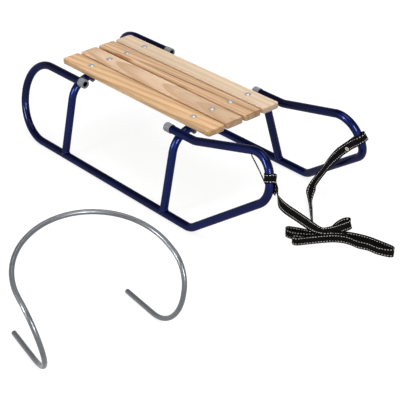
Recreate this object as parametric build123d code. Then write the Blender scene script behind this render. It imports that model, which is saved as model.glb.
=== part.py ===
import os
from math import atan, cos, radians, sqrt, tan

from build123d import *

# A child's sled: two bent tube runners, two welded arches, four bolted wooden slats,
# a webbing pull strap, and a rod backrest that is lifted off and stands beside it.
# Millimetres. +X is forward, +Y is the rider's left and +Z is up. The origin is on the
# ground, in the mirror plane, midway between the two arches.

# Frame tube
tube_diameter = 18.0
tube_wall = 1.2
weld_gap = 0.1

# Side view of a runner, along its tube's centre line
side_lean = 0.25
rail_height = 187.5
rear_end_x = -364.0
rear_bend_radius = 90.0
kink_x = 271.0
kink_radius = 40.0
nose_foot_x = 478.5
nose_foot_height = 150.5
nose_foot_radius = 45.0
nose_top_x = 453.0
nose_top_height = 237.0
nose_top_radius = 48.0
rail_bend_x = 242.0
rail_bend_radius = 60.0
rear_joint_x = -264.0
front_joint_x = 250.0

# Arches under the seat
arch_spacing = 362.5
seat_above_rails = 17.5
seat_gap = 0.1

# Plastic sleeves on the four open tube ends
rear_mouth_from_arch = 41.25
front_mouth_from_arch = 30.75
sleeve_wall = 1.3
sleeve_length = 18.0
sleeve_lip = 3.0
sleeve_rod_clearance = 1.5
sleeve_clearance = 0.05
sleeve_round = 0.7

# Wooden slats
slat_count = 4
slat_width = 46.0
slat_gap = 5.2
seat_to_rail_gap = 16.575
slat_thickness = 14.0
slat_rear_overhang = 83.5
slat_front_overhang = 75.5
slat_corner_radius = 7.0
slat_edge_radius = 3.0

# Bolts through the slats and the arches
bolt_diameter = 6.0
bolt_clearance = 0.2
bolt_head_diameter = 15.0
bolt_head_height = 3.4
bolt_head_rim = 0.7
bolt_past_nut = 3.0
nut_across_flats = 10.0
nut_height = 5.0
nut_gap = 0.05

# Backrest rod, standing on its two legs on the ground beside the sled
rod_diameter = 10.0
leg_half_spacing = 121.0
leg_length = 178.0
leg_flare = 7.0
u_bend_height = 139.0
u_bend_flare = 26.0
u_bend_overhang = 3.5
lower_bend_radius = 88.0
upper_bend_radius = 66.0
hoop_rise = 0.333
hoop_side_back = 142.0
hoop_side_half_width = 146.5
hoop_top_back = 194.0
hoop_top_half_width = 36.0
hoop_bend_radius = 146.0
backrest_x = 343.5
backrest_y = -526.0
backrest_turn = -8.35

# Webbing of the pull strap
strap_width = 20.0
strap_thickness = 1.6
strap_clearance = 0.3
strap_loop_wall = 2.0
strap_run_diameter = 6.4
bundle_height = 25.0
bundle_corner_radius = 2.0
eyelet_diameter = 9.0
eyelet_bore = 3.6
eyelet_barrel = 5.6
eyelet_flange = 0.8
eyelet_from_end = 21.0
eyelet_below_middle = 3.2
short_end_along_rail = 50.3

os.makedirs("parts", exist_ok=True)

tube_radius = tube_diameter / 2
rear_arch_x = -arch_spacing / 2
front_arch_x = arch_spacing / 2
rear_mouth_x = rear_arch_x + rear_mouth_from_arch
front_mouth_x = front_arch_x - front_mouth_from_arch
slat_pitch = slat_width + slat_gap
slat_length = slat_rear_overhang + arch_spacing + slat_front_overhang
seat_width = slat_count * slat_pitch - slat_gap
seat_top_height = rail_height + seat_above_rails
# The rails stand a set gap outside the seat, and the runners lean out from them to the ground
rail_half_spacing = seat_width / 2 + seat_to_rail_gap + tube_radius
half_spacing = rail_half_spacing + side_lean * (rail_height - tube_radius)
slat_underside = seat_top_height - slat_thickness
crossbar_height = slat_underside - seat_gap - tube_radius
side_names = {1: "left", -1: "right"}


def save(node, shape):
    export_step(shape, "parts/" + node + ".step")


def side_point(side, x, height):
    """A point in a runner's leaning plane. side is +1 on the left and -1 on the right."""
    return Vector(x, side * (half_spacing - side_lean * (height - tube_radius)), height)


def along(path, section):
    """Carries a section, drawn about its centre, along a path."""
    start = Plane(origin=path @ 0, z_dir=path % 0)
    return sweep(start * section, path=path)


def loose_radii(points, share=0.45):
    """The largest tangent arc that each corner of a slack route has room for."""
    radii = []
    for before, corner, after in zip(points, points[1:], points[2:]):
        turn = radians((corner - before).get_angle(after - corner))
        shorter = min((corner - before).length, (after - corner).length)
        radii.append(share * shorter / tan(turn / 2))
    return radii


# ---- Runners: one open bent tube on each side, its two ends facing along the seat
# Each is divided at two square cuts into a rear bend, a straight and a nose.


def runner_corners(side):
    return [
        side_point(side, rear_mouth_x - sleeve_lip, rail_height),
        side_point(side, rear_end_x, rail_height),
        side_point(side, rear_end_x, tube_radius),
        side_point(side, kink_x, tube_radius),
        side_point(side, nose_foot_x, nose_foot_height),
        side_point(side, nose_top_x, nose_top_height),
        side_point(side, rail_bend_x, rail_height),
        side_point(side, front_mouth_x + sleeve_lip, rail_height),
    ]


def nose_path(side):
    radii = [kink_radius, nose_foot_radius, nose_top_radius, rail_bend_radius]
    start = side_point(side, front_joint_x, tube_radius)
    return FilletPolyline(start, *runner_corners(side)[3:], radius=radii)


def rear_path(side):
    end = side_point(side, rear_joint_x, tube_radius)
    return FilletPolyline(*runner_corners(side)[:3], end, radius=rear_bend_radius)


def ground_path(side):
    start = side_point(side, rear_joint_x, tube_radius)
    return Line(start, side_point(side, front_joint_x, tube_radius))


tube_section = Circle(tube_radius) - Circle(tube_radius - tube_wall)
for side, name in side_names.items():
    save("runner_rear_" + name, along(rear_path(side), tube_section))
    save("runner_ground_" + name, along(ground_path(side), tube_section))
    save("runner_nose_" + name, along(nose_path(side), tube_section))

# ---- Arches: legs in the runners' planes, shoulders bent inwards under the slats
# The shoulder's radius makes it just touch the inner side of the rail, where it is welded.

lean_angle = atan(side_lean)
shoulder_inset = 1 / cos(lean_angle) - side_lean
rail_inset = side_lean * (rail_height - crossbar_height)
rail_rise = rail_height - crossbar_height
weld_reach = tube_diameter + weld_gap
quad_a = shoulder_inset**2
quad_b = rail_rise - shoulder_inset * rail_inset - weld_reach
quad_c = rail_inset**2 + rail_rise**2 - weld_reach**2
shoulder_radius = (-quad_b + sqrt(quad_b**2 - quad_a * quad_c)) / quad_a


def slat_y(slat):
    return (slat - (slat_count - 1) / 2) * slat_pitch


def arch(x):
    corners = [
        side_point(1, x, tube_radius),
        side_point(1, x, crossbar_height),
        side_point(-1, x, crossbar_height),
        side_point(-1, x, tube_radius),
    ]
    tube = along(FilletPolyline(*corners, radius=shoulder_radius), tube_section)
    for side in side_names:
        foot = Plane(origin=side_point(side, x, tube_radius), z_dir=(1, 0, 0))
        tube -= foot * Cylinder(tube_radius + weld_gap, 4 * tube_diameter)
    for slat in range(slat_count):
        hole = Cylinder(bolt_diameter / 2 + bolt_clearance, 2 * tube_diameter)
        tube -= Pos(x, slat_y(slat), crossbar_height) * hole
    return tube


save("rear_arch", arch(rear_arch_x))
save("front_arch", arch(front_arch_x))

# ---- Sleeves: push-on plastic ends, open in the middle for the backrest's legs

sleeve_radius = tube_radius + sleeve_clearance + sleeve_wall
sleeve_bore = rod_diameter + 2 * sleeve_rod_clearance
cup_depth = sleeve_length - sleeve_lip


def sleeve():
    """A sleeve along +X, its mouth's face at the origin."""
    body = Cylinder(sleeve_radius, sleeve_length)
    body = fillet(body.edges().filter_by(GeomType.CIRCLE), sleeve_round)
    body -= Cylinder(sleeve_bore / 2, sleeve_length)
    cup = Cylinder(tube_radius + sleeve_clearance, cup_depth)
    body -= Pos(0, 0, -sleeve_lip / 2) * cup
    return Pos(-sleeve_length / 2, 0, 0) * Rot(0, 90, 0) * body


for side, name in side_names.items():
    rear_mouth = side_point(side, rear_mouth_x, rail_height)
    front_mouth = side_point(side, front_mouth_x, rail_height)
    save("rear_sleeve_" + name, Pos(*rear_mouth) * sleeve())
    save("front_sleeve_" + name, Pos(*front_mouth) * Rot(0, 0, 180) * sleeve())

# ---- Seat: wooden slats, each held by one bolt at each arch

slat_middle_x = rear_arch_x - slat_rear_overhang + slat_length / 2


def wooden_slat(y):
    board = Box(slat_length, slat_width, slat_thickness)
    board = fillet(board.edges().filter_by(Axis.Z), slat_corner_radius)
    flat_faces = board.faces().filter_by(Axis.Z)
    board = fillet(flat_faces.edges(), slat_edge_radius)
    board = Pos(slat_middle_x, y, seat_top_height - slat_thickness / 2) * board
    for x in (rear_arch_x, front_arch_x):
        hole = Cylinder(bolt_diameter / 2 + bolt_clearance, 2 * slat_thickness)
        board -= Pos(x, y, slat_underside) * hole
    return board


def slat_bolt():
    """A domed bolt, its head's underside at the origin and its shank pointing down."""
    dome_radius = ((bolt_head_diameter / 2) ** 2 + bolt_head_height**2) / (2 * bolt_head_height)
    ball = Pos(0, 0, bolt_head_rim + bolt_head_height - dome_radius) * Sphere(dome_radius)
    blank = Cylinder(bolt_head_diameter / 2, 2 * bolt_head_height)
    head = (Pos(0, 0, bolt_head_height) * blank) & ball
    shank_length = slat_thickness + seat_gap + tube_diameter + nut_gap + nut_height + bolt_past_nut
    shank = Cylinder(bolt_diameter / 2, shank_length)
    return head + Pos(0, 0, -shank_length / 2) * shank


def nut():
    """A hexagon nut, its top face at the origin."""
    outline = RegularPolygon(nut_across_flats / 2, 6, major_radius=False)
    outline -= Circle(bolt_diameter / 2 + nut_gap)
    return extrude(outline, -nut_height)


nut_top = crossbar_height - tube_radius - nut_gap
for slat in range(slat_count):
    y = slat_y(slat)
    number = str(slat + 1)
    save("seat_slat_" + number, wooden_slat(y))
    for place, x in (("rear", rear_arch_x), ("front", front_arch_x)):
        save(place + "_bolt_" + number, Pos(x, y, seat_top_height) * slat_bolt())
        save(place + "_nut_" + number, Pos(x, y, nut_top) * nut())

# ---- Backrest: one rod; two legs, a U-bend up from each, and a hoop that slopes back


def backrest_corners(side):
    """One half of the rod, tip first, with the legs' tips on the y axis."""
    bend_y = leg_half_spacing + leg_flare
    shoulder_x = leg_length + u_bend_overhang
    return [
        Vector(0, side * leg_half_spacing, 0),
        Vector(leg_length, side * bend_y, 0),
        Vector(shoulder_x, side * (bend_y + u_bend_flare), u_bend_height),
        Vector(
            shoulder_x - hoop_side_back,
            side * hoop_side_half_width,
            u_bend_height + hoop_rise * hoop_side_back,
        ),
        Vector(
            shoulder_x - hoop_top_back,
            side * hoop_top_half_width,
            u_bend_height + hoop_rise * hoop_top_back,
        ),
    ]


half_radii = [lower_bend_radius, upper_bend_radius, hoop_bend_radius, hoop_bend_radius]
backrest_path = FilletPolyline(
    *backrest_corners(-1), *reversed(backrest_corners(1)), radius=half_radii + half_radii[::-1]
)
backrest = along(backrest_path, Circle(rod_diameter / 2))
backrest_place = Pos(backrest_x, backrest_y, rod_diameter / 2) * Rot(0, 0, backrest_turn)
save("backrest", backrest_place * backrest)

# ---- Pull strap: a loop round each nose, a slack run from each, and the folded bundle
# Route points of the two runs, from the nose down to the bundle on the ground

right_route = [
    (476, -116, 173),
    (476, -114.5, 153),
    (476, -107, 131),
    (475.8, -89, 110),
    (475.6, -64, 86),
    (475.5, -38.5, 61),
    (475.5, -17, 39),
    (478, -1, 25),
]
left_route = [
    (421, 119.5, 141.5),
    (407, 119, 124.5),
    (391.5, 118, 104.5),
    (375.5, 117.5, 80.5),
    (359.5, 117.2, 56.5),
    (346.5, 116, 37),
    (344.6, 111.2, 25.2),
    (347.7, 103.6, 15.6),
    (355, 95, 10.3),
    (370, 82.5, 10),
    (390, 65, 10),
    (409, 47.8, 10),
    (427, 31.3, 10),
    (442, 19, 10),
    (456, 12, 10),
]
bundle_outline = [
    (447, -55),
    (465, -52),
    (477, -34),
    (494, -6),
    (508, 13),
    (521, 24),
    (538, 30),
    (557, 31),
    (577, 41),
    (593, 41),
    (610, 46),
    (629, 58),
    (631, 70),
    (619, 77),
    (602, 75),
    (584, 73),
    (563, 70),
    (543, 64),
    (524, 56),
    (507, 46),
    (501, 56),
    (498, 80),
    (492, 92),
    (478, 93),
    (469, 83),
    (469, 60),
    (472, 42),
    (473, 27),
    (460, 18),
    (451, 12),
    (450, 0),
    (437, -9),
    (423, -17),
    (411, -27),
    (412, -41),
    (422, -45),
    (434, -43),
    (443, -41),
]
# The strap's short end on the right, from the loop up to the underside of the rail:
# its foot from the loop's centre, its tip from the rail's centre line, and how its width lies
short_end_foot_offset = Vector(-10.7, -5.5, -16.2)
short_end_tip_offset = Vector(3.4, -3.6, -13.5)
short_end_width = Vector(0.536, -0.524, 0.665)

bundle = extrude(Polygon(*bundle_outline, align=None), bundle_height)
bundle = fillet(bundle.edges().filter_by(Axis.Z), bundle_corner_radius)
save("strap_bundle", bundle)


def tangent_length(before, corner, after, radius):
    return radius * tan(radians((corner - before).get_angle(after - corner)) / 2)


def nose_middle(side):
    """The middle of the straight between the nose's two bends, and its direction."""
    ramp_start, foot, top, rail = runner_corners(side)[3:7]
    lower = tangent_length(ramp_start, foot, top, nose_foot_radius)
    upper = tangent_length(foot, top, rail, nose_top_radius)
    direction = (top - foot).normalized()
    straight = (top - foot).length - lower - upper
    return foot + direction * (lower + straight / 2), direction


loop_radius = tube_radius + strap_clearance


def strap_loop(side):
    centre, direction = nose_middle(side)
    band = Cylinder(loop_radius + strap_loop_wall, strap_width)
    return Plane(origin=centre, z_dir=direction) * band


def around_tube(side):
    """The space that the webbing keeps clear of: the runner's tube and the strap's clearance."""
    return along(nose_path(side), Circle(loop_radius))


def webbing_strip(start, end, width_direction, thickness):
    """A flat strip from start to end."""
    length_direction = end - start
    face = Plane(origin=start, x_dir=length_direction, z_dir=length_direction.cross(width_direction))
    strip = Box(length_direction.length, strap_width, thickness, align=(Align.MIN, Align.CENTER, Align.CENTER))
    return face * strip


def eyelet(place):
    """A metal eyelet, clenched over both faces of the doubled webbing."""
    half_height = strap_thickness + strap_clearance + eyelet_flange
    ring = Cylinder(eyelet_diameter / 2, 2 * half_height)
    groove = Cylinder(eyelet_diameter, 2 * (half_height - eyelet_flange))
    groove -= Cylinder(eyelet_barrel / 2, 2 * half_height)
    return place * (ring - groove - Cylinder(eyelet_bore / 2, 2 * half_height))


left_centre, left_direction = nose_middle(1)
tab_end = Vector(*left_route[0])
tab_direction = (tab_end - left_centre).normalized()
tab_thickness = 2 * strap_thickness
tab = webbing_strip(left_centre, tab_end, left_direction, tab_thickness)
tab_normal = tab_direction.cross(left_direction).normalized()
tab_across = tab_normal.cross(tab_direction)
eyelet_centre = tab_end - tab_direction * eyelet_from_end - tab_across * eyelet_below_middle
eyelet_plane = Plane(origin=eyelet_centre, z_dir=tab_normal)
tab -= eyelet_plane * Cylinder(eyelet_barrel / 2 + nut_gap, 4 * tab_thickness)
save("strap_eyelet", eyelet(eyelet_plane))
left_loop = strap_loop(1) + tab - around_tube(1)
save("strap_loop_left", left_loop)

nose_top, rail_start = runner_corners(-1)[5:7]
short_end_foot = nose_middle(-1)[0] + short_end_foot_offset
rail_point = nose_top + (rail_start - nose_top).normalized() * short_end_along_rail
short_end_tip = rail_point + short_end_tip_offset
short_end = webbing_strip(short_end_foot, short_end_tip, short_end_width, strap_thickness)
right_loop = strap_loop(-1) + short_end - around_tube(-1)
save("strap_loop_right", right_loop)

for name, route, loop in (("left", left_route, left_loop), ("right", right_route, right_loop)):
    points = [Vector(*point) for point in route]
    radii = loose_radii(points)
    print("strap run", name, "radii", [round(radius, 1) for radius in radii])
    path = FilletPolyline(*points, radius=radii)
    run = along(path, Circle(strap_run_diameter / 2))
    print("  length", round(path.length, 1), "volume", round(run.volume, 1))
    save("strap_run_" + name, run - loop - bundle)
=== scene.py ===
from math import cos, pi, radians, sin

import bpy
import numpy as np
from mathutils import Matrix, Vector


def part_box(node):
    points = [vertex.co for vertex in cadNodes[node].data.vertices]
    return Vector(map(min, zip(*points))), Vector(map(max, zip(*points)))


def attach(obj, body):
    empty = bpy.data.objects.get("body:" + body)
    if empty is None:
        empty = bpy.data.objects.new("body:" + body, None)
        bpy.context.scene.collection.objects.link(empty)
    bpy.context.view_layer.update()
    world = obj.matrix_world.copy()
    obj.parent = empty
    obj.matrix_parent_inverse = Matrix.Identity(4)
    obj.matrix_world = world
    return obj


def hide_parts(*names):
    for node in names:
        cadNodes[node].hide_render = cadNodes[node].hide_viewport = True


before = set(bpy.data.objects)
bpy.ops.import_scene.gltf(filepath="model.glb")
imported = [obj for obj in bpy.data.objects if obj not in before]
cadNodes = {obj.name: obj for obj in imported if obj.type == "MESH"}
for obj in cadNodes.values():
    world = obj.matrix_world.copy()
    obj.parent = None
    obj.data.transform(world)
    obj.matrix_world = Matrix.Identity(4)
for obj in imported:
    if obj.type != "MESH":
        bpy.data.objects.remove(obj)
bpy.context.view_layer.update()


# camera, floor and light

viewpoint = {
    "aim": (0.31697, -0.17862, 0.100),
    "azimuth": 50.78,
    "elevation": 30.08,
    "roll": -2.22,
    "distance": 2.64253,
    "lens": 117.25,
    "nearest": 0.05,
    "farthest": 50,
}


# the way that leads from the aim to an azimuth and an elevation in degrees
def directionOf(azimuth, elevation):
    a, e = radians(azimuth), radians(elevation)
    return Vector((sin(a) * cos(e), -cos(a) * cos(e), sin(e)))


# stands an object at a distance from the aim and turns it to face the aim
def aimObject(obj, s, roll=0):
    back = directionOf(s["azimuth"], s["elevation"])
    turn = back.to_track_quat("Z", "Y").to_matrix() @ Matrix.Rotation(radians(roll), 3, "Z")
    place = Vector(viewpoint["aim"]) + back * s["distance"]
    obj.matrix_world = Matrix.Translation(place) @ turn.to_4x4()


def addObject(name, data):
    obj = bpy.data.objects.new(name, data)
    bpy.context.collection.objects.link(obj)
    return obj


def addCamera(name, s):
    data = bpy.data.cameras.new(name)
    data.lens = s["lens"]
    data.clip_start = s["nearest"]
    data.clip_end = s["farthest"]
    camera = addObject(name, data)
    aimObject(camera, s, s["roll"])
    bpy.context.scene.camera = camera


addCamera("productView", viewpoint)


# gives each input of a node a value, or links it to a socket
def fillInputs(tree, node, inputs):
    for key, value in inputs.items():
        if isinstance(value, bpy.types.NodeSocket):
            tree.links.new(value, node.inputs[key])
        else:
            node.inputs[key].default_value = value
    return node


def addNode(tree, kind, inputs=None, **settings):
    node = tree.nodes.new(kind)
    for key, value in settings.items():
        setattr(node, key, value)
    return fillInputs(tree, node, inputs or {})


# one step of arithmetic; a product plus a sum is the one that takes a third number
def mathNode(tree, operation, a, b=0.0, c=None, clamp=False):
    inputs = {0: a, 1: b} if c is None else {0: a, 1: b, 2: c}
    return addNode(tree, "ShaderNodeMath", inputs, operation=operation, use_clamp=clamp).outputs[0]


def minus(tree, a, b):
    return mathNode(tree, "SUBTRACT", a, b)


def times(tree, a, b):
    return mathNode(tree, "MULTIPLY", a, b)


def timesPlus(tree, a, b, c, clamp=False):
    return mathNode(tree, "MULTIPLY_ADD", a, b, c, clamp)


def larger(tree, a, b):
    return mathNode(tree, "MAXIMUM", a, b)


def sizeOf(tree, a):
    return mathNode(tree, "ABSOLUTE", a)


def mixColour(tree, factor, a, b, blend="MIX"):
    node = addNode(tree, "ShaderNodeMix", data_type="RGBA", blend_type=blend)
    return fillInputs(tree, node, {0: factor, 6: a, 7: b}).outputs[2]


def emptyTree(owner):
    owner.use_nodes = True
    owner.node_tree.nodes.clear()
    return owner.node_tree


# the dome is white to the camera and a dimmer source of light; in reflections it is white at the
# horizon and fades to the ceiling's glare between two heights
studio = {
    "domeLight": 0.50,
    "ceilingGlare": 0.30,
    "ceilingFrom": 0.10,
    "ceilingTo": 0.60,
    "floorColour": 0.32,
    "floorLift": 0.80,
    "floorSize": 14.0,
}


# 1 for rays that show the background: camera, glossy and transmission rays
def seenDirectly(tree, path):
    glossy = larger(tree, path.outputs["Is Camera Ray"], path.outputs["Is Glossy Ray"])
    return larger(tree, glossy, path.outputs["Is Transmission Ray"])


def addWorld(s):
    world = bpy.data.worlds.new("studioDome")
    bpy.context.scene.world = world
    tree = emptyTree(world)
    path = addNode(tree, "ShaderNodeLightPath")
    way = addNode(tree, "ShaderNodeTexCoord").outputs["Generated"]
    height = addNode(tree, "ShaderNodeSeparateXYZ", {0: way}).outputs[2]
    glare = addNode(tree, "ShaderNodeMapRange", {
        "Value": height, "From Min": s["ceilingFrom"], "From Max": s["ceilingTo"],
        "To Min": 1.0, "To Max": s["ceilingGlare"],
    }).outputs[0]
    shown = larger(tree, glare, path.outputs["Is Camera Ray"])
    extra = minus(tree, shown, s["domeLight"])
    strength = timesPlus(tree, seenDirectly(tree, path), extra, s["domeLight"])
    light = addNode(tree, "ShaderNodeBackground", {"Color": (1, 1, 1, 1), "Strength": strength})
    addNode(tree, "ShaderNodeOutputWorld", {"Surface": light.outputs[0]})


# a matt floor that keeps the shadow, lifted to white where it is seen directly
def addFloor(s):
    half = s["floorSize"] / 2
    mesh = bpy.data.meshes.new("studioFloor")
    corners = [(-half, -half, 0), (half, -half, 0), (half, half, 0), (-half, half, 0)]
    mesh.from_pydata(corners, [], [(0, 1, 2, 3)])
    floor = addObject("studioFloor", mesh)
    material = bpy.data.materials.new("paleFloor")
    tree = emptyTree(material)
    grey = s["floorColour"]
    paint = addNode(tree, "ShaderNodeBsdfDiffuse", {"Color": (grey, grey, grey, 1)})
    seen = seenDirectly(tree, addNode(tree, "ShaderNodeLightPath"))
    lift = times(tree, seen, s["floorLift"])
    glow = addNode(tree, "ShaderNodeEmission", {"Color": (1, 1, 1, 1), "Strength": lift})
    both = addNode(tree, "ShaderNodeAddShader", {0: paint.outputs[0], 1: glow.outputs[0]})
    addNode(tree, "ShaderNodeOutputMaterial", {"Surface": both.outputs[0]})
    mesh.materials.append(material)


# the boxes light everything; two of them have a strip in front that only adds a streak to gloss
softboxes = {
    "rightBox": {"azimuth": 72, "elevation": 25, "distance": 2.6, "size": (0.6, 1.1), "watts": 15},
    "leftBox": {"azimuth": 350, "elevation": 27, "distance": 2.6, "size": (0.6, 1.1), "watts": 15},
    "topBox": {"azimuth": 150, "elevation": 80, "distance": 2.4, "size": (1.5, 1.5), "watts": 22},
}
strips = {
    "rightStrip": {"azimuth": 72, "elevation": 25, "distance": 2.55, "size": (0.34, 1.1), "watts": 62},
    "leftStrip": {"azimuth": 350, "elevation": 27, "distance": 2.55, "size": (0.34, 1.1), "watts": 56},
}


def addSoftbox(name, s, streakOnly):
    data = bpy.data.lights.new(name, "AREA")
    data.shape = "RECTANGLE"
    data.size, data.size_y = s["size"]
    data.energy = s["watts"]
    light = addObject(name, data)
    light.visible_camera = False
    light.visible_diffuse = not streakOnly
    aimObject(light, s)


addWorld(studio)
addFloor(studio)
for lamps, streakOnly in ((softboxes, False), (strips, True)):
    for name, settings in lamps.items():
        addSoftbox(name, settings, streakOnly)
bpy.context.scene.view_settings.view_transform = "Standard"
print("stage: camera, floor, dome,", len(softboxes), "softboxes and", len(strips), "strips")


# pull strap: flat webbing along one smooth line

strap = {
    "width": 0.020,
    "thickness": 0.0016,
    "length": 1.40,
    "edgeRound": 0.35,
    "pointsAround": 20,
    "pointsPerStep": 12,
}
stitching = {
    "fromMiddle": 0.0063,
    "pitch": 0.0059,
    "dash": 0.0031,
    "threadRadius": 0.00088,
    "flatness": 0.45,
    "proud": 0.00030,
    "swell": (0.45, 0.95, 1.0, 0.95, 0.45),  # a dash's thickness at even steps along it
    "pointsAround": 6,
}
# ways in which the webbing's width lies on several rows
upright = (0, 0, 1)
foldWidth = (-0.45, 0.2, 0.87)
leftWidth = (-0.275, -0.233, 0.933)
rightWidth = (-0.28, 0.23, 0.93)
endWidth = (0.536, -0.524, 0.665)

# each row is a point of the line, then the way the webbing's width lies there
rightRun = [
    (0.476, -0.116, 0.173, -0.85, 0.3, 0.4),
    (0.476, -0.1145, 0.153, -0.85, 0.45, 0.2),
    (0.476, -0.107, 0.131, -0.35, 0.75, 0.5),
    (0.4758, -0.089, 0.110, -0.1, 0.75, 0.6),
    (0.4756, -0.064, 0.086, 0.1, 0.75, 0.65),
    (0.4755, -0.0385, 0.061, 0.1, 0.75, 0.65),
    (0.4755, -0.017, 0.039, -0.1, 0.72, 0.65),
    (0.478, -0.001, 0.0255, -0.5, 0.65, 0.45),
    (0.485, 0.006, 0.0218, -0.75, 0.6, 0.3),
    (0.491, 0.017, 0.021, -0.8, 0.45, 0.4),
]
sideFold = [
    (0.4925, 0.033, 0.017, -0.6, 0.3, 0.7),
    (0.4905, 0.050, 0.0135, -0.5, 0.2, 0.82),
    (0.4895, 0.063, 0.011, *foldWidth),
    (0.491, 0.076, 0.010, *foldWidth),
    (0.4885, 0.086, 0.010, *foldWidth),
    (0.4795, 0.086, 0.010, *foldWidth),
    (0.4755, 0.074, 0.0098, *foldWidth),
    (0.4765, 0.059, 0.0098, -0.4, 0.1, 0.9),
    (0.480, 0.044, 0.010, -0.3, 0, 0.95),
    (0.4845, 0.028, 0.010, -0.1, 0, 1),
    (0.479, 0.014, 0.010, *upright),
]
# folds that stand on the webbing's edge, as points of the floor
rearFold = [
    (0.468, -0.002), (0.455, -0.009), (0.440, -0.015), (0.428, -0.022), (0.416, -0.029),
    (0.419, -0.039), (0.434, -0.038), (0.449, -0.029), (0.463, -0.018), (0.476, -0.003),
]
innerFold = [
    (0.490, 0.016), (0.504, 0.030), (0.516, 0.038), (0.525, 0.0395),
    (0.521, 0.0335), (0.509, 0.024), (0.496, 0.010),
]
lowerFold = [
    (0.483, -0.007), (0.471, -0.024), (0.460, -0.036), (0.449, -0.041),
    (0.450, -0.050), (0.461, -0.0485),
]
frontPly = [
    (0.470, -0.034), (0.480, -0.018), (0.492, 0.001), (0.505, 0.018), (0.519, 0.029),
    (0.537, 0.035), (0.556, 0.036), (0.575, 0.046), (0.592, 0.046), (0.608, 0.0515),
]
tailFold = [(0.621, 0.058, 0.010, -0.1, 0.1, 1), (0.627, 0.066, 0.010, 0, 0.15, 1)]
backPly = [
    (0.619, 0.0715), (0.603, 0.0695), (0.585, 0.067), (0.565, 0.064), (0.545, 0.058),
    (0.527, 0.050), (0.510, 0.040), (0.496, 0.029), (0.484, 0.019), (0.471, 0.013),
]
leftRun = [
    (0.456, 0.012, 0.010, *upright),
    (0.442, 0.019, 0.010, -0.10, -0.12, 0.99),
    (0.427, 0.0313, 0.010, -0.19, -0.20, 0.96),
    (0.409, 0.0478, 0.010, -0.24, -0.24, 0.94),
    (0.390, 0.065, 0.010, -0.28, -0.27, 0.92),
    (0.370, 0.0825, 0.010, -0.38, -0.3, 0.86),
    (0.355, 0.095, 0.0103, -0.5, -0.25, 0.8),
    (0.3477, 0.1036, 0.0156, -0.6, -0.1, 0.75),
    (0.3446, 0.1112, 0.0252, -0.66, 0.1, 0.7),
    (0.3465, 0.116, 0.037, -0.72, 0.3, 0.6),
    (0.3595, 0.1172, 0.0565, -0.75, 0.4, 0.5),
    (0.3755, 0.1175, 0.0805, -0.75, 0.44, 0.49),
    (0.3915, 0.118, 0.1045, -0.7, 0.3, 0.6),
    (0.407, 0.119, 0.1245, -0.65, -0.1, 0.7),
    (0.4208, 0.1203, 0.1416, -0.647, -0.302, 0.7),
]
leftWrap = [
    (0.4213, 0.1187, 0.1413, *leftWidth),
    (0.4284, 0.1196, 0.1482, *leftWidth),
    (0.4355, 0.1205, 0.1552, *leftWidth),
    (0.4407, 0.1212, 0.1603, *leftWidth),
    (0.4443, 0.1213, 0.1637, *leftWidth),
    (0.4545, 0.1191, 0.1720, *leftWidth),
    (0.4648, 0.1169, 0.1801, *leftWidth),
    (0.4722, 0.1160, 0.1854, -0.265, -0.270, 0.920),
    (0.4790, 0.1236, 0.1914, -0.245, -0.350, 0.890),
    (0.4792, 0.1330, 0.1948, -0.235, -0.410, 0.870),
    (0.4738, 0.1376, 0.1932, -0.255, -0.320, 0.900),
    (0.4658, 0.1362, 0.1880, *leftWidth),
    (0.4601, 0.1329, 0.1828, *leftWidth),
    (0.4519, 0.1282, 0.1735, *leftWidth),
    (0.4437, 0.1236, 0.1640, *leftWidth),
    (0.4402, 0.1229, 0.1606, *leftWidth),
    (0.4350, 0.1222, 0.1555, *leftWidth),
    (0.4279, 0.1213, 0.1485, *leftWidth),
    (0.4208, 0.1204, 0.1416, *leftWidth),
]
rightWrap = [
    (0.4739, -0.1217, 0.1577, 0.92, -0.39, 0.01),
    (0.4744, -0.1202, 0.1643, 0.94, -0.34, 0.06),
    (0.4743, -0.1188, 0.1709, 0.91, -0.30, 0.29),
    (0.4722, -0.1171, 0.1768, 0.80, -0.22, 0.56),
    (0.4681, -0.1153, 0.1816, 0.52, -0.02, 0.86),
    (0.4621, -0.1163, 0.1848, -0.07, 0.22, 0.97),
    (0.4570, -0.1216, 0.1865, *rightWidth),
    (0.4571, -0.1296, 0.1890, *rightWidth),
    (0.4629, -0.1347, 0.1920, *rightWidth),
    (0.4711, -0.1342, 0.1942, *rightWidth),
    (0.4768, -0.1278, 0.1944, *rightWidth),
    (0.4773, -0.1204, 0.1922, -0.27, 0.25, 0.93),
    (0.4764, -0.1168, 0.1878, -0.33, 0.46, 0.82),
    (0.4760, -0.1162, 0.1807, -0.74, 0.40, 0.54),
    (0.4760, -0.1160, 0.1730, -0.86, 0.30, 0.41),
]
shortEnd = [
    (0.4609, -0.1326, 0.1820, *endWidth),
    (0.4437, -0.1273, 0.1933, *endWidth),
    (0.4261, -0.1222, 0.2042, *endWidth),
    (0.4073, -0.1173, 0.2147, *endWidth),
]


# rows for webbing that stands on its edge on the floor
def onEdge(points):
    return [(x, y, strap["width"] / 2, *upright) for x, y in points]


strapRows = (
    rightRun + sideFold + onEdge(rearFold + innerFold + lowerFold + frontPly)
    + tailFold + onEdge(backPly) + leftRun
)


# points along a smooth NURBS spline that has the given control points
def splineSamples(name, points, s):
    curve = bpy.data.curves.new(name, "CURVE")
    curve.dimensions = "3D"
    curve.resolution_u = s["pointsPerStep"]
    spline = curve.splines.new("NURBS")
    spline.points.add(len(points) - 1)
    for point, place in zip(spline.points, points):
        point.co = (*place, 1)
    spline.order_u = 3
    spline.use_endpoint_u = True
    line = addObject(name, curve)
    mesh = bpy.data.meshes.new_from_object(line)
    samples = np.empty(len(mesh.vertices) * 3)
    mesh.vertices.foreach_get("co", samples)
    bpy.data.meshes.remove(mesh)
    bpy.data.objects.remove(line)
    return samples.reshape(-1, 3)


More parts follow.
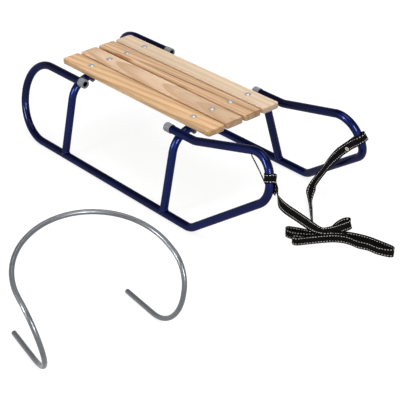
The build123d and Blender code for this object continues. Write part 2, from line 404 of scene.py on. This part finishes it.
def unit(vectors):
    return vectors / np.linalg.norm(vectors, axis=-1, keepdims=True)


# what is left of each vector once its share along a unit direction is taken away, as unit vectors
def squareTo(vectors, along):
    return unit(vectors - (vectors * along).sum(1, keepdims=True) * along)


# a ribbon's line, its width direction squared to the line, its face direction, which is the cross
# product of the two, and the distance along
def splineRibbon(name, rows, s):
    centre = splineSamples(name, [row[:3] for row in rows], s)
    along = unit(np.gradient(centre, axis=0))
    across = squareTo(splineSamples(name + "Width", [row[3:] for row in rows], s), along)
    steps = np.linalg.norm(np.diff(centre, axis=0), axis=1)
    distance = np.concatenate([[0], np.cumsum(steps)])
    return {"centre": centre, "across": across, "face": np.cross(along, across), "distance": distance}


# quads of a grid whose columns close on themselves, and whose rows do too where it is a ring
def gridQuads(rows, columns, ring=False):
    i, j = np.meshgrid(np.arange(rows if ring else rows - 1), np.arange(columns), indexing="ij")
    corners = ((i, j), (i, j + 1), (i + 1, j + 1), (i + 1, j))
    return np.stack([(a % rows * columns + b % columns).ravel() for a, b in corners], 1)


# the two end faces of a grid whose columns close on themselves
def endCaps(rows, columns):
    first = np.arange(columns)
    return np.stack([first[::-1], (rows - 1) * columns + first])


# the faces of one grid, given again for each of its copies
def facesOfCopies(faces, copies, pointsEach):
    return (np.arange(copies)[:, None, None] * pointsEach + faces).reshape(-1, faces.shape[1]).tolist()


def meshPiece(name, vertices, faces, material):
    mesh = bpy.data.meshes.new(name)
    mesh.from_pydata(vertices.reshape(-1, 3).tolist(), [], faces)
    mesh.validate()
    mesh.materials.append(material)
    mesh.polygons.foreach_set("use_smooth", [True] * len(mesh.polygons))
    mesh.update()
    piece = addObject(name, mesh)
    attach(piece, "root")
    return piece


# the cosine and sine at even steps round one turn
def turnsOf(count):
    turn = np.linspace(0, 2 * pi, count, endpoint=False)
    return np.cos(turn), np.sin(turn)


# a rounded flat section: cosine across the width, sine through the thickness, both squared off
def webbingSection(s):
    cosine, sine = turnsOf(s["pointsAround"])
    wide = s["width"] / 2 * np.sign(cosine) * np.abs(cosine) ** s["edgeRound"]
    thick = s["thickness"] / 2 * np.sign(sine) * np.abs(sine) ** s["edgeRound"]
    return wide, thick


# the webbing's section carried along its line, with distances along and across as its UV map
def addWebbing(name, ribbon, material, s):
    wide, thick = webbingSection(s)
    across = wide[None, :, None] * ribbon["across"][:, None]
    face = thick[None, :, None] * ribbon["face"][:, None]
    vertices = ribbon["centre"][:, None] + (across + face)
    rows, columns = vertices.shape[:2]
    faces = gridQuads(rows, columns).tolist() + endCaps(rows, columns).tolist()
    piece = meshPiece(name, vertices, faces, material)
    webbingMap = np.stack([np.repeat(ribbon["distance"], columns), np.tile(wide, rows)], 1)
    corners = np.empty(len(piece.data.loops), int)
    piece.data.loops.foreach_get("vertex_index", corners)
    layer = piece.data.uv_layers.new(name="webbingMap")
    layer.data.foreach_set("uv", webbingMap[corners].ravel())
    return piece


# sewn dashes: short flattened tubes, half sunk, in two rows on each face of a ribbon; a point is on
# the ribbon's line, moved aside to its row, out to the face, and round the thread by its turn
def sewnDashes(ribbon, s, sewing):
    swell = np.array(sewing["swell"])
    starts = np.arange(sewing["pitch"] / 2, ribbon["distance"][-1] - sewing["dash"], sewing["pitch"])
    stations = starts[:, None] + np.linspace(0, sewing["dash"], len(swell))[None, :]
    centre, across, face = (
        np.stack([np.interp(stations, ribbon["distance"], ribbon[key][:, k]) for k in range(3)], -1)
        for key in ("centre", "across", "face")
    )
    across, face = unit(across)[:, :, None], unit(face)[:, :, None]
    cosine, sine = turnsOf(sewing["pointsAround"])
    around = cosine[:, None] * across + sewing["flatness"] * sine[:, None] * face
    thread = sewing["threadRadius"] * swell[:, None, None] * around
    lift = s["thickness"] / 2 + sewing["proud"] - sewing["threadRadius"] * sewing["flatness"]
    return [
        centre[:, :, None] + row * sewing["fromMiddle"] * across + side * lift * face + thread
        for row in (-1, 1) for side in (-1, 1)
    ]


def addStitches(name, ribbons, material, s, sewing):
    dashes = np.concatenate([rows for ribbon in ribbons for rows in sewnDashes(ribbon, s, sewing)])
    copies, rows, columns = dashes.shape[:3]
    quads = facesOfCopies(gridQuads(rows, columns), copies, rows * columns)
    caps = facesOfCopies(endCaps(rows, columns), copies, rows * columns)
    return meshPiece(name, dashes, quads + caps, material)


# finishes

patternStep = (0.37, 0.19, 0.53)  # how far a seed of 1 moves a pattern


# an empty shader group with named numbers going in and coming out
def newGroup(name, inputs, outputs):
    group = bpy.data.node_groups.new(name, "ShaderNodeTree")
    for socket in inputs:
        group.interface.new_socket(socket, in_out="INPUT", socket_type="NodeSocketFloat")
    for socket in outputs:
        group.interface.new_socket(socket, in_out="OUTPUT", socket_type="NodeSocketFloat")
    return group, addNode(group, "NodeGroupInput"), addNode(group, "NodeGroupOutput")


def giveResults(group, result, values):
    for socket, value in values.items():
        group.links.new(value, result.inputs[socket])
    return group


def useGroup(tree, group, values):
    return addNode(tree, "ShaderNodeGroup", values, node_tree=group).outputs


def objectPlace(tree):
    return addNode(tree, "ShaderNodeTexCoord").outputs["Object"]


def axesOf(tree, vector):
    return addNode(tree, "ShaderNodeSeparateXYZ", {0: vector}).outputs


# object coordinates, moved by a seed and then scaled along each axis
def stretched(tree, seed, scale=(1, 1, 1)):
    shift = addNode(tree, "ShaderNodeVectorMath", {0: patternStep, "Scale": seed}, operation="SCALE")
    moved = addNode(tree, "ShaderNodeVectorMath", {0: objectPlace(tree), 1: shift.outputs[0]})
    drawn = addNode(tree, "ShaderNodeVectorMath", {0: moved.outputs[0], 1: scale}, operation="MULTIPLY")
    return drawn.outputs[0]


def noise(tree, vector, scale, detail, rough=0.55):
    inputs = {"Vector": vector, "Scale": scale, "Detail": detail, "Roughness": rough}
    return addNode(tree, "ShaderNodeTexNoise", inputs).outputs[0]


# noise drawn out along each axis by its own scale
def drawnNoise(tree, seed, scale, detail):
    return noise(tree, stretched(tree, seed, scale), 1, detail)


# a smooth change from one number to another while the value goes through a range
def remap(tree, value, span, low=0.0, high=1.0):
    inputs = {"Value": value, "From Min": span[0], "From Max": span[1], "To Min": low, "To Max": high}
    return addNode(tree, "ShaderNodeMapRange", inputs, interpolation_type="SMOOTHSTEP").outputs[0]


def bumpOf(tree, height, distance):
    return addNode(tree, "ShaderNodeBump", {"Height": height, "Distance": distance}).outputs[0]


def newMaterial(name):
    material = bpy.data.materials.new(name)
    return material, emptyTree(material)


def finishMaterial(tree, inputs):
    shader = addNode(tree, "ShaderNodeBsdfPrincipled", inputs)
    addNode(tree, "ShaderNodeOutputMaterial", {"Surface": shader.outputs[0]})


def opaque(colour, scale=1.0):
    return (*[channel * scale for channel in colour], 1)


handlingMarks = {
    "patchSpan": (0.42, 0.70),
    "patchDetail": 3,
    "alongScale": (30, 900, 900),
    "alongSpan": (0.66, 0.72),
    "crossScale": (700, 60, 700),
    "crossSpan": (0.68, 0.74),
    "unevenScale": 260,
    "detail": 2,
}


# fine scratches and dull patches from handling: two masks, and a height for a bump
def makeHandling(s):
    inputs = ("Seed", "Patch Scale", "Scratches")
    group, given, result = newGroup("handling", inputs, ("Scratches", "Patches", "Height"))
    seed = given.outputs["Seed"]
    place = stretched(group, seed)
    patchNoise = noise(group, place, given.outputs["Patch Scale"], s["patchDetail"])
    patches = remap(group, patchNoise, s["patchSpan"])
    along = remap(group, drawnNoise(group, seed, s["alongScale"], s["detail"]), s["alongSpan"])
    cross = remap(group, drawnNoise(group, seed, s["crossScale"], s["detail"]), s["crossSpan"])
    seen = times(group, larger(group, along, cross), patches)
    scratches = times(group, seen, given.outputs["Scratches"])
    height = minus(group, noise(group, place, s["unevenScale"], s["detail"]), scratches)
    return giveResults(group, result, {"Scratches": scratches, "Patches": patches, "Height": height})


woodFigure = {
    "toneScale": (1.6, 30, 30),
    "toneSpan": (0.34, 0.66),
    "swayScale": (3.5, 16, 16),
    "innerSpan": (-0.0008, 0.0012),
    "riseSpan": (0.25, 0.92),
    "fallSpan": (0.92, 1.0),
    "fibreScale": (9, 620, 620),
    "poreScale": (45, 1100, 1100),
    "poreSpan": (0.64, 0.72),
    "ringRelief": 0.5,
}


# a softwood board along X: rings are a sawtooth of the distance from a pith line below the face,
# which sinks or rises along the board and so draws pointed arches on the face and arcs on the ends;
# with them a broad tone, the zone inside one ring, fine fibre lines and short dark pores
def makeWoodGrain(s):
    inputs = ("Seed", "Pith Y", "Pith Z", "Slope", "Rise", "Ring Spacing", "Sway", "Inner Radius")
    outputs = ("Tone", "Rings", "Inner", "Fibre", "Pores", "Height")
    group, given, result = newGroup("woodGrain", inputs, outputs)
    seed = given.outputs["Seed"]
    x, y, z = axesOf(group, objectPlace(group))

    # how far an axis is from the pith line, which moves in proportion to x
    def fromPith(axis, place, slope):
        line = timesPlus(group, x, given.outputs[slope], given.outputs[place])
        return minus(group, axis, line)

    aside = fromPith(y, "Pith Y", "Slope")
    deep = fromPith(z, "Pith Z", "Rise")
    distance = mathNode(group, "SQRT", timesPlus(group, aside, aside, times(group, deep, deep)))
    sway = drawnNoise(group, seed, s["swayScale"], detail=3)
    radius = timesPlus(group, sway, given.outputs["Sway"], distance)
    inner = remap(group, minus(group, given.outputs["Inner Radius"], radius), s["innerSpan"])
    turns = mathNode(group, "DIVIDE", radius, given.outputs["Ring Spacing"])
    phase = mathNode(group, "FRACT", turns)
    rising = remap(group, phase, s["riseSpan"])
    rings = times(group, rising, remap(group, phase, s["fallSpan"], 1.0, 0.0))
    fibre = drawnNoise(group, seed, s["fibreScale"], detail=4)
    pores = remap(group, drawnNoise(group, seed, s["poreScale"], detail=1), s["poreSpan"])
    return giveResults(group, result, {
        "Tone": remap(group, drawnNoise(group, seed, s["toneScale"], detail=4), s["toneSpan"]),
        "Rings": rings,
        "Inner": inner,
        "Fibre": fibre,
        "Pores": pores,
        "Height": minus(group, timesPlus(group, rings, s["ringRelief"], fibre), pores),
    })


weaving = {
    "edgeSpan": (0.90, 0.97),
    "crossedRelief": 0.5,
    "ribRelief": 0.4,
}


# the webbing's weave from its UV map in metres: ribs across, warp yarns along, and a bound edge
def makeWeave(s):
    inputs = ("Rib Pitch", "Yarn Pitch", "Half Width")
    group, given, result = newGroup("weave", inputs, ("Yarn", "Edge", "Height"))
    along, across, _ = axesOf(group, addNode(group, "ShaderNodeUVMap", uv_map="webbingMap").outputs[0])

    # the sine of the distance counted in pitches
    def wave(distance, pitch):
        turns = mathNode(group, "DIVIDE", distance, given.outputs[pitch])
        return mathNode(group, "SINE", times(group, turns, 2 * pi))

    ribs = wave(along, "Rib Pitch")
    crossed = times(group, ribs, wave(across, "Yarn Pitch"))
    outward = mathNode(group, "DIVIDE", sizeOf(group, across), given.outputs["Half Width"])
    height = timesPlus(group, crossed, s["crossedRelief"], times(group, ribs, s["ribRelief"]))
    edge = remap(group, outward, s["edgeSpan"])
    return giveResults(group, result, {"Yarn": crossed, "Edge": edge, "Height": height})


handling = makeHandling(handlingMarks)
woodGrain = makeWoodGrain(woodFigure)
weave = makeWeave(weaving)


lacquer = {
    "deep": (0.0030, 0.0042, 0.028),
    "bright": (0.0020, 0.0150, 0.122),
    "rubbed": (0.012, 0.014, 0.045),
    "edgeTint": (0.10, 0.14, 0.45),
    "metallic": 0.95,
    "roughness": 0.33,
    "patchRoughness": 0.06,
    "coat": 0.20,
    "coatRoughness": 0.05,
    "cloudScale": 9,
    "cloudSpan": (0.3, 0.7),
    "cloudShare": 0.35,
    "flakeScale": 2600,
    "flakeSpan": (0.55, 1.0),
    "flakeShare": 0.45,
    "scratchShare": 0.6,
    "relief": 0.00004,
    "wear": {"Seed": 1.0, "Patch Scale": 22.0, "Scratches": 0.5},
}


# candy blue lacquer: a dark metallic base with fine flakes under a clear coat
def makeLacquer(name, s):
    material, tree = newMaterial(name)
    wear = useGroup(tree, handling, s["wear"])
    place = stretched(tree, 0.0)
    clouds = remap(tree, noise(tree, place, s["cloudScale"], detail=2), s["cloudSpan"])
    cells = addNode(tree, "ShaderNodeTexVoronoi", {"Vector": place, "Scale": s["flakeScale"]})
    flakes = remap(tree, cells.outputs["Color"], s["flakeSpan"])
    lively = timesPlus(tree, flakes, s["flakeShare"], times(tree, clouds, s["cloudShare"]))
    base = mixColour(tree, lively, opaque(s["deep"]), opaque(s["bright"]))
    rubbed = times(tree, wear["Scratches"], s["scratchShare"])
    finishMaterial(tree, {
        "Base Color": mixColour(tree, rubbed, base, opaque(s["rubbed"])),
        "Metallic": s["metallic"],
        "Roughness": timesPlus(tree, wear["Patches"], s["patchRoughness"], s["roughness"]),
        "Specular Tint": opaque(s["edgeTint"]),
        "Coat Weight": s["coat"],
        "Coat Roughness": s["coatRoughness"],
        "Normal": bumpOf(tree, wear["Height"], s["relief"]),
    })
    return material


plastic = {
    "grey": (0.235, 0.245, 0.270),
    "patchShade": 1.15,
    "worn": (0.33, 0.33, 0.34),
    "roughness": 0.42,
    "grainRoughness": 0.12,
    "grainScale": 2200,
    "relief": 0.00005,
    "wear": {"Seed": 2.0, "Patch Scale": 90.0, "Scratches": 0.8},
}


# moulded grey plastic with a fine spark-eroded texture
def makePlastic(name, s):
    material, tree = newMaterial(name)
    wear = useGroup(tree, handling, s["wear"])
    grain = noise(tree, stretched(tree, s["wear"]["Seed"]), s["grainScale"], detail=2)
    base = mixColour(tree, wear["Patches"], opaque(s["grey"]), opaque(s["grey"], s["patchShade"]))
    finishMaterial(tree, {
        "Base Color": mixColour(tree, wear["Scratches"], base, opaque(s["worn"])),
        "Roughness": timesPlus(tree, grain, s["grainRoughness"], s["roughness"]),
        "Normal": bumpOf(tree, mathNode(tree, "ADD", grain, wear["Height"]), s["relief"]),
    })
    return material


metals = {
    "bolt": {
        "name": "zincPlate", "bright": (0.56, 0.545, 0.51), "dull": (0.31, 0.300, 0.275),
        "metallic": 0.60, "roughness": 0.32, "specular": 0.5, "seed": 8.0, "patches": 420.0,
    },
    "nut": {
        "name": "darkSteel", "bright": (0.070, 0.072, 0.080), "dull": (0.035, 0.036, 0.040),
        "metallic": 0.8, "roughness": 0.42, "specular": 0.5, "seed": 12.0, "patches": 420.0,
    },
    "rod": {
        "name": "greyRodPaint", "bright": (0.158, 0.166, 0.178), "dull": (0.124, 0.130, 0.140),
        "metallic": 0.55, "roughness": 0.31, "specular": 0.4, "seed": 9.0, "patches": 120.0,
    },
    "eyelet": {
        "name": "paleEyelet", "bright": (0.72, 0.66, 0.55), "dull": (0.52, 0.47, 0.38),
        "metallic": 0.5, "roughness": 0.38, "specular": 0.5, "seed": 10.0, "patches": 300.0,
    },
}
metalWear = {
    "dullShare": 0.6,
    "rubShare": 0.6,
    "rubShade": 1.2,
    "patchRoughness": 0.12,
    "scratches": 1.0,
    "relief": 0.00004,
}


# plated or painted metal: brighter and duller patches with fine rub marks
def makeMetal(s, worn):
    material, tree = newMaterial(s["name"])
    marks = {"Seed": s["seed"], "Patch Scale": s["patches"], "Scratches": worn["scratches"]}
    wear = useGroup(tree, handling, marks)
    dulled = times(tree, wear["Patches"], worn["dullShare"])
    base = mixColour(tree, dulled, opaque(s["bright"]), opaque(s["dull"]))
    rubbed = times(tree, wear["Scratches"], worn["rubShare"])
    finishMaterial(tree, {
        "Base Color": mixColour(tree, rubbed, base, opaque(s["bright"], worn["rubShade"])),
        "Metallic": s["metallic"],
        "Roughness": timesPlus(tree, wear["Patches"], worn["patchRoughness"], s["roughness"]),
        "Specular IOR Level": s["specular"],
        "Normal": bumpOf(tree, wear["Height"], worn["relief"]),
    })
    return material


# pith: the place of its line at x = 0, and how far it goes to the left and up in a metre of x;
# grain: the rings' spacing and sway, and the radius of the browner zone round the pith;
# heart: the place of a dark line at x = 0, its lean to the left, its half width and its darkest x
# paintedEdgeShade: how dark the painted shade line along the top of the front end is
boards = {
    "seat_slat_1": {
        "seed": 3.0, "pale": (0.93, 0.60, 0.34), "tan": (0.65, 0.38, 0.17),
        "pith": {"Pith Y": -0.135, "Pith Z": 0.160, "Slope": 0.075, "Rise": 0.02},
        "grain": {"Ring Spacing": 0.0145, "Sway": 0.016, "Inner Radius": 0.0},
        "heart": {"crossing": -0.060, "lean": 0.010, "halfWidth": 0.003, "darkestAt": 0.0},
        "innerBrown": 0.0, "heartBrown": 0.15, "stain": 0.0, "paintedEdgeShade": 0.25,
    },
    "seat_slat_2": {
        "seed": 7.0, "pale": (0.94, 0.69, 0.48), "tan": (0.67, 0.42, 0.24),
        "pith": {"Pith Y": -0.0215, "Pith Z": 0.160, "Slope": -0.010, "Rise": 0.080},
        "grain": {"Ring Spacing": 0.0105, "Sway": 0.012, "Inner Radius": 0.0480},
        "heart": {"crossing": -0.012, "lean": 0.025, "halfWidth": 0.003, "darkestAt": 0.1},
        "innerBrown": 0.50, "heartBrown": 0.10, "stain": 0.0, "paintedEdgeShade": 0.8,
    },
    "seat_slat_3": {
        "seed": 11.0, "pale": (0.92, 0.62, 0.38), "tan": (0.61, 0.36, 0.19),
        "pith": {"Pith Y": 0.0225, "Pith Z": 0.195, "Slope": 0.033, "Rise": 0.030},
        "grain": {"Ring Spacing": 0.0085, "Sway": 0.006, "Inner Radius": 0.0125},
        "heart": {"crossing": 0.0225, "lean": 0.033, "halfWidth": 0.0018, "darkestAt": 0.040},
        "innerBrown": 0.60, "heartBrown": 1.0, "stain": 0.9, "paintedEdgeShade": 0.8,
    },
    "seat_slat_4": {
        "seed": 17.0, "pale": (0.93, 0.735, 0.545), "tan": (0.77, 0.57, 0.385),
        "pith": {"Pith Y": 0.150, "Pith Z": 0.170, "Slope": 0.010, "Rise": 0.030},
        "grain": {"Ring Spacing": 0.0160, "Sway": 0.014, "Inner Radius": 0.0},
        "heart": {"crossing": 0.062, "lean": 0.012, "halfWidth": 0.004, "darkestAt": 0.1},
        "innerBrown": 0.0, "heartBrown": 0.10, "stain": 0.0, "paintedEdgeShade": 0.1,
    },
}
heartwood = (0.27, 0.115, 0.045)
boardLook = {
    "toneShare": 0.55,
    "ringShare": 0.75,
    "innerShade": 0.82,
    "poreShare": 0.30,
    "poreShade": 1.6,
    "fibreSpan": (0.3, 0.7),
    "fibreShade": (0.91, 1.06),
    "roughness": (0.50, 0.42),
    "specular": 0.3,
    "relief": 0.00012,
}
heartLine = {
    "wanderScale": (6, 1, 1),
    "wander": 0.004,
    "coreShare": 0.4,
    "fadeShare": 2.0,
    "fadeAlong": (0.03, 0.15),
    "farStrength": 0.5,
}
resinStain = {
    "colour": (0.42, 0.17, 0.055),
    "enter": (-0.250, -0.230),
    "leave": (-0.152, -0.128),
    "edge": (0.0075, 0.0125),
    "streakScale": (9, 60, 60),
    "streakSpan": (0.35, 0.55),
}
boardEnds = {
    "facingSpan": (0.55, 0.90),
    "grainShare": 0.42,
    "grainShade": 0.72,
    # how far behind the front end the painted shade line lies, and how far it spreads
    "paintedShadeAt": 0.0016,
    "paintedShadeSpan": (0.0006, 0.0019),
    "upwardSpan": (0.1, 0.5),
}


# a wandering line along the board, which fades to its sides and away from its darkest place
def heartMask(tree, x, y, s, line):
    heart = s["heart"]
    wander = drawnNoise(tree, s["seed"], line["wanderScale"], detail=3)
    crossing = timesPlus(tree, wander, line["wander"], heart["crossing"] - line["wander"] / 2)
    away = sizeOf(tree, minus(tree, y, timesPlus(tree, x, heart["lean"], crossing)))
    span = (heart["halfWidth"] * line["coreShare"], heart["halfWidth"] * line["fadeShare"])
    fromDarkest = sizeOf(tree, minus(tree, x, heart["darkestAt"]))
    along = remap(tree, fromDarkest, line["fadeAlong"], 1.0, line["farStrength"])
    return times(tree, remap(tree, away, span, s["heartBrown"], 0.0), along)


# streaks between two places along a board, on the right of a line
def stainMask(tree, x, y, s, stain):
    streaks = drawnNoise(tree, s["seed"] + 2, stain["streakScale"], detail=3)
    entering = remap(tree, x, stain["enter"])
    leaving = remap(tree, x, stain["leave"], 1.0, 0.0)
    beside = remap(tree, y, stain["edge"], s["stain"], 0.0)
    streaked = times(tree, beside, remap(tree, streaks, stain["streakSpan"]))
    return times(tree, times(tree, entering, leaving), streaked)


# the two ends, where the surface faces along the board
def endGrainMask(tree, facing, ends):
    return remap(tree, sizeOf(tree, facing[0]), ends["facingSpan"], 0.0, ends["grainShare"])


# painted shade: a dark line across the board's upper side, a little behind its front end, where the edge
# rounds over
def paintedEdgeShadeMask(tree, x, facing, frontEnd, strength, ends):
    away = sizeOf(tree, minus(tree, x, frontEnd - ends["paintedShadeAt"]))
    line = remap(tree, away, ends["paintedShadeSpan"], strength, 0.0)
    return times(tree, line, remap(tree, facing[2], ends["upwardSpan"]))


# clear-varnished board: pale to tan by its tone and rings, then layers that are each laid over what
# is there by a mask, and a shade along the fibres
def makeWood(board, s):
    material, tree = newMaterial(board + "Wood")
    grain = useGroup(tree, woodGrain, {"Seed": s["seed"], **s["pith"], **s["grain"]})
    x, y, _ = axesOf(tree, objectPlace(tree))
    facing = axesOf(tree, addNode(tree, "ShaderNodeTexCoord").outputs["Normal"])
    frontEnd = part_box(board)[1].x
    rings = times(tree, grain["Rings"], boardLook["ringShare"])
    amount = timesPlus(tree, grain["Tone"], boardLook["toneShare"], rings, clamp=True)
    base = mixColour(tree, amount, opaque(s["pale"]), opaque(s["tan"]))
    layers = [
        (times(tree, grain["Inner"], s["innerBrown"]), opaque(s["tan"], boardLook["innerShade"])),
        (heartMask(tree, x, y, s, heartLine), opaque(heartwood)),
        (stainMask(tree, x, y, s, resinStain), opaque(resinStain["colour"])),
        (endGrainMask(tree, facing, boardEnds), opaque(s["tan"], boardEnds["grainShade"])),
        # painted shade along the top of the front end
        (paintedEdgeShadeMask(tree, x, facing, frontEnd, s["paintedEdgeShade"], boardEnds), opaque(heartwood)),
        (times(tree, grain["Pores"], boardLook["poreShare"]), opaque(heartwood, boardLook["poreShade"])),
    ]
    for mask, colour in layers:
        base = mixColour(tree, mask, base, colour)
    shade = remap(tree, grain["Fibre"], boardLook["fibreSpan"], *boardLook["fibreShade"])
    grey = addNode(tree, "ShaderNodeCombineXYZ", {0: shade, 1: shade, 2: shade}).outputs[0]
    finishMaterial(tree, {
        "Base Color": mixColour(tree, 1.0, base, grey, "MULTIPLY"),
        "Roughness": remap(tree, grain["Rings"], (0, 1), *boardLook["roughness"]),
        "Specular IOR Level": boardLook["specular"],
        "Normal": bumpOf(tree, grain["Height"], boardLook["relief"]),
    })
    return material


webbingLook = {
    "black": (0.0040, 0.0034, 0.0036),
    "faded": (0.0120, 0.0092, 0.0085),
    "seed": 5.0,
    "dustScale": 55,
    "dustSpan": (0.40, 0.75),
    "dustShare": 0.5,
    "leastFaded": 0.15,
    "yarnShare": 0.35,
    "edgeShade": 0.7,
    "roughness": (0.90, 0.75),
    "refraction": 1.12,
    "relief": 0.00018,
    "weave": {"Rib Pitch": 0.0011, "Yarn Pitch": 0.0009, "Half Width": strap["width"] / 2},
}


# black woven webbing, its raised yarns a little faded and its edges darker
def makeWebbing(name, s):
    material, tree = newMaterial(name)
    cloth = useGroup(tree, weave, s["weave"])
    dust = remap(tree, noise(tree, stretched(tree, s["seed"]), s["dustScale"], detail=4), s["dustSpan"])
    dusty = timesPlus(tree, dust, s["dustShare"], s["leastFaded"])
    raised = timesPlus(tree, cloth["Yarn"], s["yarnShare"], dusty, clamp=True)
    base = mixColour(tree, raised, opaque(s["black"]), opaque(s["faded"]))
    finishMaterial(tree, {
        "Base Color": mixColour(tree, cloth["Edge"], base, opaque(s["black"], s["edgeShade"])),
        "Roughness": remap(tree, cloth["Yarn"], (-1, 1), *s["roughness"]),
        "IOR": s["refraction"],
        "Normal": bumpOf(tree, cloth["Height"], s["relief"]),
    })
    return material


threadLook = {
    "pale": (0.90, 0.88, 0.84),
    "soiled": (0.70, 0.66, 0.61),
    "seed": 6.0,
    "soilScale": 70,
    "soilSpan": (0.40, 0.75),
    "twistScale": 3500,
    "twistSpan": (0.3, 0.7),
    "roughness": (0.60, 0.85),
    "relief": 0.0001,
}


# pale twisted sewing thread, a little soiled in places
def makeThread(name, s):
    material, tree = newMaterial(name)
    place = stretched(tree, s["seed"])
    soil = remap(tree, noise(tree, place, s["soilScale"], detail=3), s["soilSpan"])
    twist = noise(tree, place, s["twistScale"], detail=1)
    finishMaterial(tree, {
        "Base Color": mixColour(tree, soil, opaque(s["pale"]), opaque(s["soiled"])),
        "Roughness": remap(tree, twist, s["twistSpan"], *s["roughness"]),
        "Normal": bumpOf(tree, twist, s["relief"]),
    })
    return material


finishes = {
    "lacquer": makeLacquer("candyBlueLacquer", lacquer),
    "plastic": makePlastic("greyPlastic", plastic),
    "webbing": makeWebbing("blackWebbing", webbingLook),
    "thread": makeThread("sewingThread", threadLook),
}
finishes.update({part: makeMetal(settings, metalWear) for part, settings in metals.items()})
finishes.update({board: makeWood(board, settings) for board, settings in boards.items()})
# a word in a node's name, then its finish; a board has its own, and the rest is lacquered
finishWords = {
    "sleeve": "plastic", "bolt": "bolt", "nut": "nut", "backrest": "rod",
    "eyelet": "eyelet", "strap": "webbing",
}


def finishOf(node):
    if node in boards:
        return finishes[node]
    for word, finish in finishWords.items():
        if word in node:
            return finishes[finish]
    return finishes["lacquer"]


for node, cadObject in cadNodes.items():
    cadObject.data.materials.clear()
    cadObject.data.materials.append(finishOf(node))
print("stage: finishes on", len(cadNodes), "frame nodes")


strapLine = splineRibbon("strapLine", strapRows, strap)
strapPiece = addWebbing("pullStrap", strapLine, finishes["webbing"], strap)
strapStitches = addStitches("pullStrapStitches", [strapLine], finishes["thread"], strap, stitching)
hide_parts("strap_run_left", "strap_run_right", "strap_bundle")
print("stage: pull strap,", round(strapLine["distance"][-1], 3), "m long")

leftLine = splineRibbon("leftWrapLine", leftWrap, strap)
leftPiece = addWebbing("strapLoopLeft", leftLine, finishes["webbing"], strap)
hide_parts("strap_loop_left")
rightLine = splineRibbon("rightWrapLine", rightWrap, strap)
rightPiece = addWebbing("strapLoopRight", rightLine, finishes["webbing"], strap)
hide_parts("strap_loop_right")
endLine = splineRibbon("shortEndLine", shortEnd, strap)
addWebbing("strapShortEnd", endLine, finishes["webbing"], strap)
addStitches("strapLoopStitches", [leftLine, rightLine, endLine], finishes["thread"], strap, stitching)
print("stage: strap loops round the two noses")


# weld beads: a ripple runs along each as the torch moves on

welds = {
    "arches": ("rear_arch", "front_arch"),
    "runner": "runner_ground_left",
    "lean": 0.25,  # how far a leg leans inwards for each unit up
    "footBead": 0.0019,
    "footThinnest": 0.35,
    "railContact": (0.1202, 0.1800),  # y and z of the place where shoulder and rail touch
    "railFacing": (0.564, 0.826),  # the way from the shoulder's middle to the rail's there
    "railRing": 0.0052,
    "railBead": 0.0014,
    "railSunk": 0.00005,
    "ripples": 34,
    "ripple": 0.08,
    "pointsAlong": 160,
    "pointsAround": 10,
}
forward = np.array([1.0, 0, 0])


def middleOf(node):
    low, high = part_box(node)
    return (low + high) / 2


runnerMiddle = middleOf(welds["runner"])
tubeRadius = runnerMiddle.z  # the runner lies on the floor


# a closed tube of varying thickness round a closed path; out is the way its swell faces
def beadRing(path, out, thick, around):
    along = unit(np.roll(path, -1, 0) - np.roll(path, 1, 0))
    up = squareTo(out, along)
    cosine, sine = turnsOf(around)
    ring = cosine[None, :, None] * up[:, None] + sine[None, :, None] * np.cross(along, up)[:, None]
    return path[:, None] + thick[:, None, None] * ring


# one plus a small sine that goes round many times while the bead goes round once
def rippleOf(s):
    turn = np.linspace(0, 2 * pi, s["pointsAlong"], endpoint=False)
    return 1 + s["ripple"] * np.sin(s["ripples"] * turn)


# round a leg's foot, where two tubes of one size meet square: the height above the crossing is the
# radius times the size of the cosine, and the bead is thinnest where that is least
def footBead(x, side, s):
    cosine, sine = turnsOf(s["pointsAlong"])
    rise = np.abs(cosine)
    leg = unit(np.array([0, -side * s["lean"], 1]))
    outward = cosine[:, None] * forward + sine[:, None] * np.cross(leg, forward)
    crossing = np.array([x, side * runnerMiddle.y, runnerMiddle.z])
    path = crossing + tubeRadius * (outward + rise[:, None] * leg)
    thick = s["footBead"] * (s["footThinnest"] + (1 - s["footThinnest"]) * rise) * rippleOf(s)
    return beadRing(path, outward + leg, thick, s["pointsAround"])


# a small ring where a shoulder touches a rail crosswise: it follows both tubes, so its height is its
# radius squared, times the squared cosine less the squared sine, over four tube radii
def railBead(x, side, s):
    cosine, sine = (values[:, None] for values in turnsOf(s["pointsAlong"]))
    y, z = s["railContact"]
    facing = np.array([0, side * s["railFacing"][0], s["railFacing"][1]])
    outward = cosine * forward + sine * np.cross(facing, forward)
    contact = np.array([x, side * y, z]) - s["railSunk"] * facing
    saddle = s["railRing"] ** 2 * (cosine**2 - sine**2) / (4 * tubeRadius)
    path = contact + s["railRing"] * outward + saddle * facing
    return beadRing(path, outward, s["railBead"] * rippleOf(s), s["pointsAround"])


beads = np.stack([
    bead(middleOf(arch).x, side, welds)
    for arch in welds["arches"] for side in (1, -1) for bead in (footBead, railBead)
])
copies, rows, columns = beads.shape[:3]
beadFaces = facesOfCopies(gridQuads(rows, columns, ring=True), copies, rows * columns)
meshPiece("archWelds", beads, beadFaces, finishes["lacquer"])
print("stage:", copies, "weld beads")
